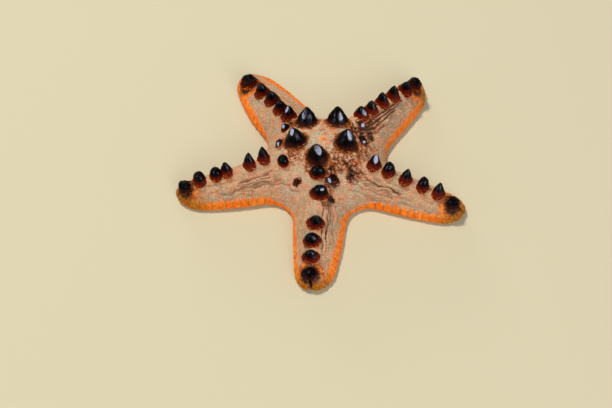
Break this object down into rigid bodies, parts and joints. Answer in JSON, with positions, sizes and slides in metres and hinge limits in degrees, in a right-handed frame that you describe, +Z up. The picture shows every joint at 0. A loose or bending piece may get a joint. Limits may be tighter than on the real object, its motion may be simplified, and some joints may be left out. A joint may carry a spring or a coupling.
{
  "type": "horned sea star",
  "caption": "Horned sea star at rest on a flat floor: a domed disc with large dark horns and ridged, gently bent arms carrying rows of smaller horns.",
  "frame": {"origin": "centre of the underside of the whole model's box, on the floor", "axes": "+Z up from the floor to the horned back, +X to the viewer's right, -Y towards the viewer along the near arm"},
  "size_m": [0.199, 0.193, 0.0469],
  "materials": {
    "skin": "damp, finely granular skin, tan with orange margins",
    "horn": "smooth wet black horn, reddish brown at the foot"
  },
  "bodies": {
    "root": {"disc": "skin", "arm_near": "skin", "arm_right": "skin", "arm_far_right": "skin", "arm_far_left": "skin", "arm_left": "skin", "horn_near": "horn", "horn_right": "horn", "horn_far_right": "horn", "horn_far_left": "horn", "horn_left": "horn"}
  },
  "joints": []
}
